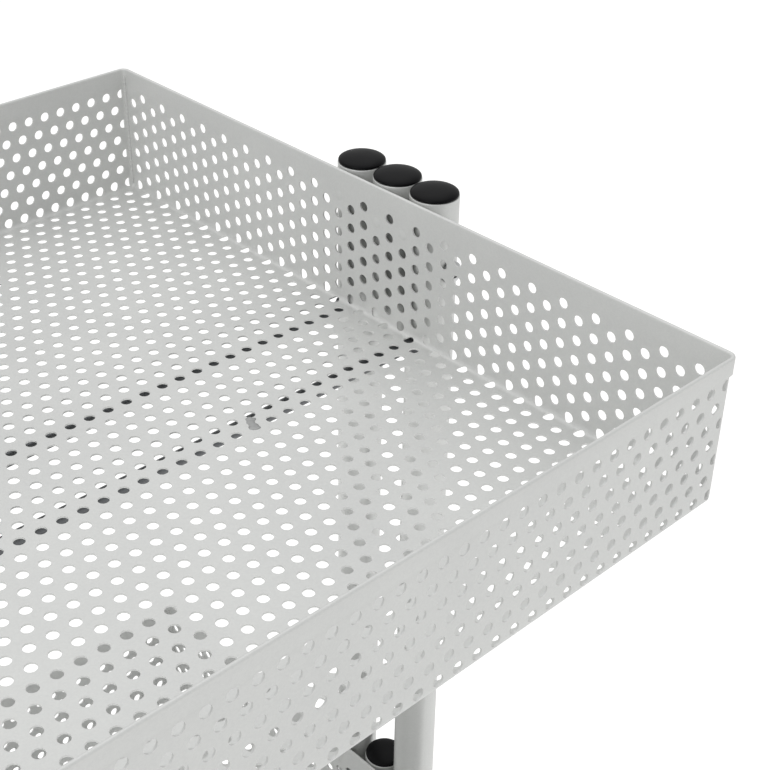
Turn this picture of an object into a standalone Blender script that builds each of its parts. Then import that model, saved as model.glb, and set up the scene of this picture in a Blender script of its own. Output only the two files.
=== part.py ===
"""Three-tier salon trolley: perforated-sheet trays hung between tube uprights, on four swivel casters.

The trays are plain folded shells here, with their true outline, wall, bend and hem.  X runs along
the tray's short side, Y along its long side, and Z is up from the surface the casters stand on.
"""

import math

import bmesh
import bpy
from mathutils import Matrix, Vector

MM = 0.001
FIT_GAP = 0.3 * MM                 # air left between two pieces that touch

# Trays
TRAY_WIDTH = 393.2 * MM            # X, over the walls
TRAY_LENGTH = 509.2 * MM           # Y, over the walls
TRAY_HEIGHT = 69.6 * MM            # underside of the floor to the rim
SHEET = 0.8 * MM
CORNER_RADIUS = 4 * MM             # outside, at the four upright corners
BEND_RADIUS = 3.2 * MM             # outside, between floor and wall
HEM_OUT = 1.1 * MM                 # the folded hem stands this far out from the wall
HEM_DROP = 8 * MM
RIM_SOFTENING = 0.3 * MM
TIER_NAMES = ("lower", "middle", "upper")
LOWEST_FLOOR = 106.4 * MM          # underside of the lowest floor above the ground
TIER_PITCH = 378 * MM

# Tubes and rods
TUBE_RADIUS = 11.5 * MM
TUBE_WALL = 1.5 * MM
TUBE_SPACING = 24 * MM
TUBE_TOP_ABOVE_RIM = 0.6 * MM
CENTRE_TUBE_DROP = 12 * MM         # the short tubes reach this far below their tray
RAIL_RADIUS = 3.5 * MM
CAP_DOME = 2.2 * MM
CAP_LIP = 0.9 * MM
CAP_PLUG_DEPTH = 12 * MM
TIE_BOLT_RADIUS = 3 * MM
TIE_BOLT_HEIGHT = 35 * MM          # above the underside of its tray
TIE_BOLT_HEAD_RADIUS = 5.5 * MM
TIE_BOLT_HEAD = 3.2 * MM
BOLT_CLEARANCE = 0.3 * MM

# Base beams
BEAM_LENGTH = 400 * MM             # X
BEAM_WIDTH = 40 * MM               # Y
BEAM_HEIGHT = 20 * MM
BEAM_WALL = 1.5 * MM
BEAM_CORNER = 3 * MM
BEAM_CAP_FLANGE = 3 * MM
BEAM_CAP_PLUG = 12 * MM

# Casters
CASTER_HEIGHT = 70 * MM
CASTER_OFFSET = 178 * MM           # swivel axis from the middle of the beam
CASTER_TRAIL = 18 * MM             # wheel axle behind the swivel axis
WHEEL_RADIUS = 25 * MM
TREAD_WIDTH = 18 * MM
HUB_WIDTH = 20 * MM
TREAD_ROUNDING = 3 * MM
AXLE_RADIUS = 3 * MM
AXLE_HEAD_RADIUS = 5 * MM
AXLE_HEAD = 2 * MM
FORK_TOP = 64 * MM
FORK_PLATE = 4 * MM
FORK_INSIDE = 21 * MM
FORK_SIDE = 2.5 * MM
BOSS_RADIUS = 8 * MM
STEM_RADIUS = 5 * MM
STEM_LENGTH = 16 * MM
STEM_COLLAR_RADIUS = 11 * MM
KINGPIN_RADIUS = 4 * MM
KINGPIN_HEAD_RADIUS = 6.5 * MM
KINGPIN_HEAD = 2.5 * MM
PIVOT_BACK = 22 * MM               # brake pivot behind the swivel axis
PIVOT_HEIGHT = 56 * MM
PIVOT_RADIUS = 2 * MM
PEDAL_REACH = 27 * MM
PEDAL_WIDTH = 19.6 * MM

# Where the pieces meet
TUBE_Y = TRAY_LENGTH / 2 + HEM_OUT + 0.4 * MM + TUBE_RADIUS
TOP_OF_TUBES = LOWEST_FLOOR + 2 * TIER_PITCH + TRAY_HEIGHT + TUBE_TOP_ABOVE_RIM
BEAM_TOP = CASTER_HEIGHT + BEAM_HEIGHT
ENDS = (("front", -1), ("rear", 1))
SIDES = (("left", -1), ("right", 1))

ROUND_STEPS = 20
WHEEL_STEPS = 24
SMALL_STEPS = 12


def srgb_channel(value):
    """One 0-255 sRGB channel as a linear value."""
    value = value / 255
    if value <= 0.04045:
        return value / 12.92
    return ((value + 0.055) / 1.055) ** 2.4


def make_material(name, colour, roughness, metallic):
    material = bpy.data.materials.new(name)
    material.use_nodes = True
    shader = material.node_tree.nodes["Principled BSDF"]
    channels = [srgb_channel(int(colour[i:i + 2], 16)) for i in (0, 2, 4)]
    shader.inputs["Base Color"].default_value = (*channels, 1.0)
    shader.inputs["Roughness"].default_value = roughness
    shader.inputs["Metallic"].default_value = metallic
    material.diffuse_color = (*channels, 1.0)
    return material


def make_object(bm, name, material, parent=None, location=(0, 0, 0)):
    """Close a bmesh into a named, smooth-shaded object with one material."""
    bmesh.ops.remove_doubles(bm, verts=bm.verts, dist=0.000001)
    bmesh.ops.recalc_face_normals(bm, faces=bm.faces)
    mesh = bpy.data.meshes.new(name)
    bm.to_mesh(mesh)
    bm.free()
    mesh.shade_smooth()
    mesh.set_sharp_from_angle(angle=math.radians(35))
    mesh.materials.append(material)
    thing = bpy.data.objects.new(name, mesh)
    bpy.context.collection.objects.link(thing)
    thing.parent = parent
    thing.location = location
    return thing


def make_empty(name, location, turn, parent=None):
    empty = bpy.data.objects.new(name, None)
    bpy.context.collection.objects.link(empty)
    empty.empty_display_size = 0.02
    empty.parent = parent
    empty.location = location
    empty.rotation_euler = (0, 0, turn)
    return empty


def rounded_rectangle(bm, width, length, radius, height, steps=3):
    """A level loop of vertices with four rounded corners."""
    loop = []
    for corner in range(4):
        across = width / 2 - radius
        along = length / 2 - radius
        middle_x = across if corner in (0, 3) else -across
        middle_y = along if corner in (0, 1) else -along
        for step in range(steps + 1):
            angle = math.radians(90 * (corner + step / steps))
            x = middle_x + radius * math.cos(angle)
            y = middle_y + radius * math.sin(angle)
            loop.append(bm.verts.new((x, y, height)))
    return loop


def skin(bm, loops, closed=False):
    """Join equal loops one after another; the ends are filled unless the skin closes on itself."""
    count = len(loops[0])
    pairs = list(zip(loops, loops[1:]))
    if closed:
        pairs.append((loops[-1], loops[0]))
    for lower, upper in pairs:
        for i in range(count):
            j = (i + 1) % count
            bm.faces.new((lower[i], lower[j], upper[j], upper[i]))
    if not closed:
        bm.faces.new(list(reversed(loops[0])))
        bm.faces.new(loops[-1])


def turned(profile, steps, about_x=False):
    """Spin a closed outline of (radius, distance along the axis) points all the way round."""
    bm = bmesh.new()
    corners = [bm.verts.new((radius, 0, along)) for radius, along in profile]
    on_axis = [abs(radius) < 1e-9 for radius, along in profile]
    edges = []
    for i, corner in enumerate(corners):
        j = (i + 1) % len(corners)
        if not (on_axis[i] and on_axis[j]):
            edges.append(bm.edges.new((corner, corners[j])))
    geometry = corners + edges
    bmesh.ops.spin(bm, geom=geometry, cent=(0, 0, 0), axis=(0, 0, 1), angle=math.tau,
                   steps=steps, use_merge=True)
    bmesh.ops.remove_doubles(bm, verts=bm.verts, dist=0.000001)
    if about_x:
        bmesh.ops.rotate(bm, verts=bm.verts, cent=(0, 0, 0), matrix=Matrix.Rotation(math.pi / 2, 3, "Y"))
    return bm


def bar(radius, length, axis, steps):
    """A plain round bar centred on the origin along X, Y or Z."""
    bm = bmesh.new()
    bmesh.ops.create_cone(bm, cap_ends=True, segments=steps, radius1=radius, radius2=radius, depth=length)
    if axis == "X":
        bmesh.ops.rotate(bm, verts=bm.verts, matrix=Matrix.Rotation(math.pi / 2, 3, "Y"))
    if axis == "Y":
        bmesh.ops.rotate(bm, verts=bm.verts, matrix=Matrix.Rotation(math.pi / 2, 3, "X"))
    return bm


def make_cutter(bm, name, material, parent=None, location=(0, 0, 0)):
    cutter = make_object(bm, name, material, parent, location)
    cutter.hide_render = True
    cutter.display_type = "WIRE"
    return cutter


def cut_with(thing, cutters):
    for cutter in cutters:
        modifier = thing.modifiers.new("cut_" + cutter.name, "BOOLEAN")
        modifier.operation = "DIFFERENCE"
        modifier.solver = "EXACT"
        modifier.object = cutter


def tray_floor(tier):
    """Height of the underside of a tray's floor."""
    return LOWEST_FLOOR + tier * TIER_PITCH


def make_tray(tier, steel):
    """One folded tray: floor, bend, four walls and the hem folded outwards at the rim."""
    bm = bmesh.new()
    sections = []
    bend_steps = 3
    for step in range(bend_steps + 1):
        angle = math.radians(90 * step / bend_steps)
        inset = BEND_RADIUS * (1 - math.sin(angle))
        sections.append((-inset, BEND_RADIUS * (1 - math.cos(angle))))
    sections.append((0, TRAY_HEIGHT - HEM_DROP))
    sections.append((HEM_OUT, TRAY_HEIGHT - HEM_DROP))
    sections.append((HEM_OUT, TRAY_HEIGHT - RIM_SOFTENING))
    sections.append((HEM_OUT - RIM_SOFTENING, TRAY_HEIGHT))
    sections.append((RIM_SOFTENING - SHEET, TRAY_HEIGHT))
    sections.append((-SHEET, TRAY_HEIGHT - RIM_SOFTENING))
    inside_radius = BEND_RADIUS - SHEET
    for step in range(bend_steps, -1, -1):
        angle = math.radians(90 * step / bend_steps)
        inset = BEND_RADIUS - inside_radius * math.sin(angle)
        sections.append((-inset, BEND_RADIUS - inside_radius * math.cos(angle)))
    loops = []
    for outset, height in sections:
        loops.append(rounded_rectangle(bm, TRAY_WIDTH + 2 * outset, TRAY_LENGTH + 2 * outset,
                                       CORNER_RADIUS + outset, height))
    skin(bm, loops)
    make_object(bm, "tray_" + TIER_NAMES[tier], steel, location=(0, 0, tray_floor(tier)))


def make_hollow_tube(name, bottom, top, x, y, steel, cutters):
    inside = TUBE_RADIUS - TUBE_WALL
    outline = ((TUBE_RADIUS, 0), (TUBE_RADIUS, top - bottom), (inside, top - bottom), (inside, 0))
    tube = make_object(turned(outline, ROUND_STEPS), name, steel, location=(x, y, bottom))
    cut_with(tube, cutters)


def make_tube_cap(name, top, x, y, plastic):
    """A domed insert: plug inside the tube, thin lip on the tube's end, low dome on top."""
    plug = TUBE_RADIUS - TUBE_WALL - FIT_GAP
    lip = FIT_GAP
    outline = [(0, -CAP_PLUG_DEPTH), (plug, -CAP_PLUG_DEPTH), (plug, lip), (TUBE_RADIUS, lip)]
    outline.append((TUBE_RADIUS, lip + CAP_LIP))
    dome_steps = 3
    for step in range(1, dome_steps):
        angle = math.radians(90 * step / dome_steps)
        outline.append((TUBE_RADIUS * math.cos(angle), lip + CAP_LIP + CAP_DOME * math.sin(angle)))
    outline.append((0, lip + CAP_LIP + CAP_DOME))
    make_object(turned(outline, ROUND_STEPS), name, plastic, location=(x, y, top))


def make_tie_bolt(name, y, height, zinc):
    """Connector bolt through both uprights and the short tube, a low button head at each end."""
    reach = TUBE_SPACING + TUBE_RADIUS + FIT_GAP
    head = TIE_BOLT_HEAD_RADIUS
    rounded = head - 1.6 * MM
    outline = ((0, -reach - TIE_BOLT_HEAD), (rounded, -reach - TIE_BOLT_HEAD), (head, -reach - 1.2 * MM),
               (head, -reach), (TIE_BOLT_RADIUS, -reach), (TIE_BOLT_RADIUS, reach), (head, reach),
               (head, reach + 1.2 * MM), (rounded, reach + TIE_BOLT_HEAD), (0, reach + TIE_BOLT_HEAD))
    make_object(turned(outline, SMALL_STEPS, about_x=True), name, zinc, location=(0, y, height))


def make_columns(steel, plastic, zinc, guide):
    """At each end: two uprights the full height, and a short capped tube between them at each tray."""
    for end, direction in ENDS:
        y = direction * TUBE_Y
        cutters = []
        for tier, tier_name in enumerate(TIER_NAMES):
            height = tray_floor(tier) + TIE_BOLT_HEIGHT
            hole = bar(TIE_BOLT_RADIUS + BOLT_CLEARANCE, 4 * TUBE_SPACING, "X", SMALL_STEPS)
            cutter = make_cutter(hole, "bolt_hole_" + end + "_" + tier_name, guide, location=(0, y, height))
            cutters.append(cutter)
            bottom = tray_floor(tier) - CENTRE_TUBE_DROP
            top = tray_floor(tier) + TRAY_HEIGHT + TUBE_TOP_ABOVE_RIM
            make_hollow_tube("centre_tube_" + end + "_" + tier_name, bottom, top, 0, y, steel, [cutter])
            make_tube_cap("centre_cap_" + end + "_" + tier_name, top, 0, y, plastic)
            make_tie_bolt("tie_bolt_" + end + "_" + tier_name, y, height, zinc)
        for side, sign in SIDES:
            x = sign * TUBE_SPACING
            make_hollow_tube("upright_" + end + "_" + side, BEAM_TOP + FIT_GAP, TOP_OF_TUBES, x, y, steel, cutters)
            make_tube_cap("upright_cap_" + end + "_" + side, TOP_OF_TUBES, x, y, plastic)


def make_rails(steel):
    """Two round rods under each floor, from the front uprights to the rear ones."""
    length = 2 * (TUBE_Y - TUBE_RADIUS - FIT_GAP)
    for tier, tier_name in enumerate(TIER_NAMES):
        height = tray_floor(tier) - FIT_GAP - RAIL_RADIUS
        for side, sign in SIDES:
            location = (sign * TUBE_SPACING, 0, height)
            make_object(bar(RAIL_RADIUS, length, "Y", 16), "rail_" + tier_name + "_" + side, steel, location=location)


def box_section(width, height, radius, start, end):
    """Loops of a rounded rectangular section that runs along X."""
    bm = bmesh.new()
    first = rounded_rectangle(bm, width, height, radius, start)
    last = rounded_rectangle(bm, width, height, radius, end)
    return bm, first, last


def along_x(bm):
    """Turn a shape built along Z so that it runs along X, with its first side across Y."""
    bmesh.ops.rotate(bm, verts=bm.verts, matrix=Matrix(((0, 0, 1), (1, 0, 0), (0, 1, 0))))
    return bm


def make_beam_cap(name, sign, location, plastic):
    """A push-in end cap: flange over the end of the beam, plug inside it."""
    plug_width = BEAM_WIDTH - 2 * BEAM_WALL - 2 * FIT_GAP
    plug_height = BEAM_HEIGHT - 2 * BEAM_WALL - 2 * FIT_GAP
    plug_corner = BEAM_CORNER - BEAM_WALL
    edge = 1 * MM
    bm = bmesh.new()
    loops = [rounded_rectangle(bm, plug_width, plug_height, plug_corner, -BEAM_CAP_PLUG)]
    loops.append(rounded_rectangle(bm, plug_width, plug_height, plug_corner, FIT_GAP))
    loops.append(rounded_rectangle(bm, BEAM_WIDTH, BEAM_HEIGHT, BEAM_CORNER, FIT_GAP))
    loops.append(rounded_rectangle(bm, BEAM_WIDTH, BEAM_HEIGHT, BEAM_CORNER, BEAM_CAP_FLANGE - edge))
    loops.append(rounded_rectangle(bm, BEAM_WIDTH - 2 * edge, BEAM_HEIGHT - 2 * edge,
                                   BEAM_CORNER - edge, BEAM_CAP_FLANGE))
    skin(bm, loops)
    along_x(bm)
    cap = make_object(bm, name, plastic, location=location)
    if sign < 0:
        cap.rotation_euler = (0, 0, math.pi)


def make_base(steel, plastic, guide):
    """A rectangular tube across each end, which the uprights stand on and the casters screw into."""
    for end, direction in ENDS:
        centre = Vector((0, direction * TUBE_Y, CASTER_HEIGHT + BEAM_HEIGHT / 2))
        bm = bmesh.new()
        inner_width = BEAM_WIDTH - 2 * BEAM_WALL
        inner_height = BEAM_HEIGHT - 2 * BEAM_WALL
        inner_corner = BEAM_CORNER - BEAM_WALL
        half = BEAM_LENGTH / 2
        loops = [rounded_rectangle(bm, BEAM_WIDTH, BEAM_HEIGHT, BEAM_CORNER, -half),
                 rounded_rectangle(bm, BEAM_WIDTH, BEAM_HEIGHT, BEAM_CORNER, half),
                 rounded_rectangle(bm, inner_width, inner_height, inner_corner, half),
                 rounded_rectangle(bm, inner_width, inner_height, inner_corner, -half)]
        skin(bm, loops, closed=True)
        along_x(bm)
        beam = make_object(bm, "base_beam_" + end, steel, location=centre)
        cutters = []
        for side, sign in SIDES:
            hole = bar(STEM_RADIUS + BOLT_CLEARANCE, BEAM_HEIGHT / 2, "Z", SMALL_STEPS)
            place = (sign * CASTER_OFFSET, centre.y, CASTER_HEIGHT)
            cutters.append(make_cutter(hole, "stem_hole_" + end + "_" + side, guide, location=place))
            place = centre + Vector((sign * half, 0, 0))
            make_beam_cap("beam_cap_" + end + "_" + side, sign, place, plastic)
        cut_with(beam, cutters)


def make_stem(name, location, zinc):
    """Caster stem: threaded stud in the beam, collar under it, kingpin with a riveted head below."""
    collar_top = CASTER_HEIGHT - FIT_GAP
    collar_bottom = FORK_TOP + 1 * MM
    head_top = FORK_TOP - FORK_PLATE - FIT_GAP
    outline = ((0, head_top - KINGPIN_HEAD), (KINGPIN_HEAD_RADIUS, head_top - KINGPIN_HEAD),
               (KINGPIN_HEAD_RADIUS, head_top), (KINGPIN_RADIUS, head_top), (KINGPIN_RADIUS, collar_bottom),
               (STEM_COLLAR_RADIUS, collar_bottom), (STEM_COLLAR_RADIUS, collar_top),
               (STEM_RADIUS, collar_top), (STEM_RADIUS, collar_top + STEM_LENGTH), (0, collar_top + STEM_LENGTH))
    make_object(turned(outline, SMALL_STEPS), name, zinc, location=location)


def fork_outline():
    """Side view of the fork as (distance towards the front, height), the wheel trailing behind."""
    outline = [(15 * MM, FORK_TOP), (15 * MM, FORK_TOP - 12 * MM)]
    centre = (-CASTER_TRAIL, WHEEL_RADIUS)
    boss_steps = 6
    for step in range(boss_steps + 1):
        angle = math.radians(-50 - 150 * step / boss_steps)
        outline.append((centre[0] + BOSS_RADIUS * math.cos(angle), centre[1] + BOSS_RADIUS * math.sin(angle)))
    outline += [(-PIVOT_BACK - 5 * MM, PIVOT_HEIGHT - 6 * MM), (-PIVOT_BACK - 5 * MM, FORK_TOP)]
    return outline


def extruded_across(outline, width):
    """A side-view outline given its width along X."""
    bm = bmesh.new()
    loops = [[bm.verts.new((x, y, z)) for y, z in outline] for x in (-width / 2, width / 2)]
    skin(bm, loops)
    return bm


def make_fork(name, swivel, steel, guide):
    """Pressed fork: a channel closed at the top, with holes for kingpin, axle and brake pivot."""
    fork = make_object(extruded_across(fork_outline(), FORK_INSIDE + 2 * FORK_SIDE), name, steel, swivel)
    inside = FORK_TOP - FORK_PLATE
    channel = extruded_across(((40 * MM, -10 * MM), (-60 * MM, -10 * MM), (-60 * MM, inside), (40 * MM, inside)),
                              FORK_INSIDE)
    through = 2 * FORK_INSIDE
    cutters = [
        make_cutter(channel, name + "_channel", guide, swivel),
        make_cutter(bar(KINGPIN_RADIUS + BOLT_CLEARANCE, 3 * FORK_PLATE, "Z", SMALL_STEPS),
                    name + "_kingpin_hole", guide, swivel, (0, 0, FORK_TOP)),
        make_cutter(bar(AXLE_RADIUS + BOLT_CLEARANCE, through, "X", SMALL_STEPS),
                    name + "_axle_hole", guide, swivel, (0, -CASTER_TRAIL, WHEEL_RADIUS)),
        make_cutter(bar(PIVOT_RADIUS + BOLT_CLEARANCE, through, "X", 10),
                    name + "_pivot_hole", guide, swivel, (0, -PIVOT_BACK, PIVOT_HEIGHT)),
    ]
    cut_with(fork, cutters)


def make_wheel(name, swivel, rubber):
    """Moulded wheel: hub with a bore, dished sides, rounded tread; it stands on one of its flats."""
    bore = AXLE_RADIUS + BOLT_CLEARANCE
    side = TREAD_WIDTH / 2
    half_step = math.pi / WHEEL_STEPS
    tread = WHEEL_RADIUS / math.cos(half_step)
    outline = [(bore, -HUB_WIDTH / 2), (8 * MM, -HUB_WIDTH / 2), (9 * MM, -side + 3 * MM), (17 * MM, -side + 3 * MM),
               (18 * MM, -side), (tread - TREAD_ROUNDING, -side), (tread, -side + TREAD_ROUNDING)]
    outline += [(radius, -along) for radius, along in reversed(outline)]
    bm = turned(outline, WHEEL_STEPS, about_x=True)
    bmesh.ops.rotate(bm, verts=bm.verts, cent=(0, 0, 0), matrix=Matrix.Rotation(half_step, 3, "X"))
    make_object(bm, name, rubber, swivel, (0, -CASTER_TRAIL, WHEEL_RADIUS))


def make_axle(name, swivel, zinc):
    """Axle pin with a flat head outside each side of the fork."""
    reach = FORK_INSIDE / 2 + FORK_SIDE + FIT_GAP
    outline = ((0, -reach - AXLE_HEAD), (AXLE_HEAD_RADIUS, -reach - AXLE_HEAD), (AXLE_HEAD_RADIUS, -reach),
               (AXLE_RADIUS, -reach), (AXLE_RADIUS, reach), (AXLE_HEAD_RADIUS, reach),
               (AXLE_HEAD_RADIUS, reach + AXLE_HEAD), (0, reach + AXLE_HEAD))
    make_object(turned(outline, SMALL_STEPS, about_x=True), name, zinc, swivel, (0, -CASTER_TRAIL, WHEEL_RADIUS))


def make_brake(name, swivel, plastic):
    """Foot pedal on its own pivot stubs, with a shoe that comes down on the tread."""
    outline = ((3.2 * MM, 1.5 * MM), (3.2 * MM, -2 * MM), (-2 * MM, -3.2 * MM), (-6.5 * MM, -5.2 * MM),
               (-9 * MM, -4.6 * MM), (-12 * MM, -1.5 * MM), (-PEDAL_REACH, -3 * MM), (-PEDAL_REACH, 0.5 * MM),
               (-12 * MM, 2.8 * MM), (-2 * MM, 3.2 * MM))
    pedal = make_object(extruded_across(outline, PEDAL_WIDTH), name, plastic, swivel, (0, -PIVOT_BACK, PIVOT_HEIGHT))
    stubs = bar(PIVOT_RADIUS, FORK_INSIDE + 2 * FORK_SIDE, "X", 10)
    pin = make_cutter(stubs, name + "_stubs", pedal.data.materials[0], swivel, (0, -PIVOT_BACK, PIVOT_HEIGHT))
    joined = pedal.modifiers.new("stubs", "BOOLEAN")
    joined.operation = "UNION"
    joined.solver = "EXACT"
    joined.object = pin


def make_casters(steel, zinc, rubber, plastic, guide):
    """Four swivel casters; each trails outwards, and one diagonal pair has brakes."""
    for end, direction in ENDS:
        turn = 0 if direction < 0 else math.pi
        for side, sign in SIDES:
            label = "caster_" + end + "_" + side
            place = (sign * CASTER_OFFSET, direction * TUBE_Y, 0)
            make_stem(label + "_stem", place, zinc)
            swivel = make_empty(label + "_swivel", place, turn)
            make_fork(label + "_fork", swivel, steel, guide)
            make_wheel(label + "_wheel", swivel, rubber)
            make_axle(label + "_axle", swivel, zinc)
            if sign == direction:
                make_brake(label + "_brake", swivel, plastic)


def build():
    for thing in list(bpy.data.objects):
        bpy.data.objects.remove(thing)
    coated = make_material("silver_powder_coat", "C6C7C4", 0.42, 0.35)
    dark = make_material("dark_grey_enamel", "6C6E70", 0.35, 0.5)
    black = make_material("black_polyethylene", "141416", 0.38, 0.0)
    zinc = make_material("zinc_plated_steel", "B4B6B8", 0.3, 1.0)
    rubber = make_material("grey_thermoplastic_rubber", "4A4B4D", 0.65, 0.0)
    guide = make_material("guide", "FF8000", 0.5, 0.0)
    for tier in range(len(TIER_NAMES)):
        make_tray(tier, coated)
    make_rails(dark)
    make_columns(coated, black, zinc, guide)
    make_base(coated, black, guide)
    make_casters(zinc, zinc, rubber, black, guide)


build()
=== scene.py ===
import math

import bmesh
import bpy
from mathutils import Matrix, Vector


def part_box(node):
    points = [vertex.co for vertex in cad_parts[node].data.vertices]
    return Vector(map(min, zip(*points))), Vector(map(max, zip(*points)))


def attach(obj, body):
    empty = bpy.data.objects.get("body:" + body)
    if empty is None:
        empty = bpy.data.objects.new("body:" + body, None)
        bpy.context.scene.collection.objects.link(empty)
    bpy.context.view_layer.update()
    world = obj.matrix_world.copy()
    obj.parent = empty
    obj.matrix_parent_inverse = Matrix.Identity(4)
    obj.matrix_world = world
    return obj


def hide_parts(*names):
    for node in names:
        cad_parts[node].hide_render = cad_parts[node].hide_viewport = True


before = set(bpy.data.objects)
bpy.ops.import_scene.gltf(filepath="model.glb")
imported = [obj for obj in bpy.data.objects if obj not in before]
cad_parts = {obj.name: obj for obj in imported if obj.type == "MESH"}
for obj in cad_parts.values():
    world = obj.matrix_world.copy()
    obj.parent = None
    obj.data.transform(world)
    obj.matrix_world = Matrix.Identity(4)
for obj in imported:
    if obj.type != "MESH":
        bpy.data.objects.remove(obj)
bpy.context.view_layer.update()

# ---------------------------------------------------------------------------------------------
# Tray sheet.  Each tray is one blank of 0.8 mm steel sheet, punched all over with 5 mm holes in
# staggered rows, then cut at the corners and folded up on a press brake.  The punching is done
# before the folding, so holes run round the bends and are cut off where the corners are welded.

MM = 0.001
TIERS = ("lower", "middle", "upper")
SHEET = 0.8 * MM
INSIDE_BEND = 2.4 * MM
BEND_STEPS = 4
HEM_OUT = 1.1 * MM
HOLE_RADIUS = 2.5 * MM
HOLE_SIDES = 12
ROW_PITCH = 9.6 * MM                # along Y between holes of one column
COLUMN_PITCH = 8.643 * MM           # along X between one column and the next
FIRST_COLUMN = -258.644 * MM
COLUMN_PAIRS = 31
BLANK_LOW = -315.5 * MM             # the end of the punched blank at the front
# plain half pitches below, holes, plain half pitches above, for the two kinds of column
COLUMN_KINDS = ((2, 64, 1), (1, 65, 0))
SHEET_TOP = 60.6 * MM                 # above the underside of the floor; the hem takes over here
FLOOR_CROWN = 3.5 * MM              # punching stretches the sheet, so the floor bows up
FLOOR_MARGIN = 1.5 * MM             # the floor piece ends this far before the bends

tray_low, tray_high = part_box("tray_upper")
TRAY_HEIGHT = tray_high.z - tray_low.z
half_width = tray_high.x - HEM_OUT - SHEET       # middle to the inner face of a wall
half_length = tray_high.y - HEM_OUT - SHEET
flat_x = half_width - INSIDE_BEND                # the flat floor ends here
flat_y = half_length - INSIDE_BEND
bend_run = INSIDE_BEND * math.pi / 2             # sheet used up by the bend
wall_run = SHEET_TOP - SHEET - INSIDE_BEND       # straight wall above the bend


def linear_colour(code):
    """An sRGB hex colour as linear red, green, blue and alpha."""
    channels = []
    for start in (0, 2, 4):
        value = int(code[start:start + 2], 16) / 255
        if value <= 0.04045:
            channels.append(value / 12.92)
        else:
            channels.append(((value + 0.055) / 1.055) ** 2.4)
    return (*channels, 1.0)


def add_node(material, kind, values=None, links=None, **settings):
    """A shader node with its own settings, its sockets' values, and links from other sockets."""
    node = material.node_tree.nodes.new(kind)
    for name, value in settings.items():
        setattr(node, name, value)
    for socket, value in (values or {}).items():
        node.inputs[socket].default_value = value
    for socket, source in (links or {}).items():
        material.node_tree.links.new(source, node.inputs[socket])
    return node


def new_material(name, values):
    """A Principled material with uniform values set on the shader's own sockets."""
    material = bpy.data.materials.new(name)
    material.use_nodes = True
    shader = material.node_tree.nodes["Principled BSDF"]
    for socket, value in values.items():
        shader.inputs[socket].default_value = value
    return material


def connect(material, sources):
    """Link sockets to the material's Principled shader by name."""
    shader = material.node_tree.nodes["Principled BSDF"]
    for socket, source in sources.items():
        material.node_tree.links.new(source, shader.inputs[socket])


def per_size(millimetres):
    """Texture scale at which one feature is about this wide."""
    return 1000 / millimetres


def silver_powder_coat(name, flake_share):
    """Silver-grey polyester powder coat over steel, sprayed dry and baked.  Satin, with a faint
    orange peel about 2 mm across and fine aluminium flake, drawn 0.7 mm wide so that it shows."""
    coat = new_material(name, {"Metallic": flake_share, "IOR": 1.5, "Coat Weight": 0.12,
                               "Coat Roughness": 0.35})
    place = add_node(coat, "ShaderNodeTexCoord").outputs["Object"]
    flake = add_node(coat, "ShaderNodeTexVoronoi", {"Scale": per_size(0.7)}, {"Vector": place})
    cloud = add_node(coat, "ShaderNodeTexNoise", {"Scale": per_size(60), "Detail": 4.0}, {"Vector": place})
    share = add_node(coat, "ShaderNodeMath", {1: 0.35}, {0: flake.outputs["Color"]}, operation="MULTIPLY")
    both = add_node(coat, "ShaderNodeMath", {}, {0: share.outputs[0], 1: cloud.outputs["Fac"]},
                    operation="ADD")
    tint = add_node(coat, "ShaderNodeMix", {6: linear_colour("C3C4C3"), 7: linear_colour("D2D3D1")},
                    {0: both.outputs[0]}, data_type="RGBA")
    satin = add_node(coat, "ShaderNodeMapRange", {"To Min": 0.38, "To Max": 0.52},
                     {"Value": cloud.outputs["Fac"]})
    peel = add_node(coat, "ShaderNodeTexNoise", {"Scale": per_size(2.0), "Detail": 2.0}, {"Vector": place})
    bump = add_node(coat, "ShaderNodeBump", {"Strength": 0.35, "Distance": 0.03 * MM},
                    {"Height": peel.outputs["Fac"]})
    connect(coat, {"Base Color": tint.outputs[2], "Roughness": satin.outputs[0],
                   "Normal": bump.outputs[0]})
    return coat


def repeat(bm, geometry, step, count):
    """Copy geometry count times, each copy one step further on."""
    bmesh.ops.spin(bm, geom=geometry, cent=(0, 0, 0), axis=(0, 0, 1), dvec=step, angle=0,
                   steps=count, use_duplicate=True)


def punched_cell(bm, x, y):
    """One hole with the sheet round it, out to the middle of the gap to each neighbour."""
    made = bmesh.ops.create_circle(bm, segments=HOLE_SIDES, radius=HOLE_RADIUS)
    rim = [edge for vert in made["verts"] for edge in vert.link_edges]
    grown = bmesh.ops.extrude_edge_only(bm, edges=list(set(rim)))["geom"]
    outer = [item for item in grown if isinstance(item, bmesh.types.BMVert)]
    for vert in outer:
        angle = math.degrees(math.atan2(abs(vert.co.y), abs(vert.co.x)))
        across = COLUMN_PITCH / 2 * min(1, (90 - angle) / 30)
        along = ROW_PITCH / 2 * min(1, angle / 60)
        vert.co.x = math.copysign(across, vert.co.x)
        vert.co.y = math.copysign(along, vert.co.y)
    bmesh.ops.translate(bm, verts=made["verts"] + outer, vec=(x, y, 0))


def plain_cell(bm, x, y):
    """Half a pitch of sheet with no hole in it."""
    size = Matrix.Diagonal((COLUMN_PITCH / 2, ROW_PITCH / 4, 1, 1))
    bmesh.ops.create_grid(bm, x_segments=2, y_segments=2, size=1,
                          matrix=Matrix.Translation((x, y + ROW_PITCH / 4, 0)) @ size)


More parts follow.
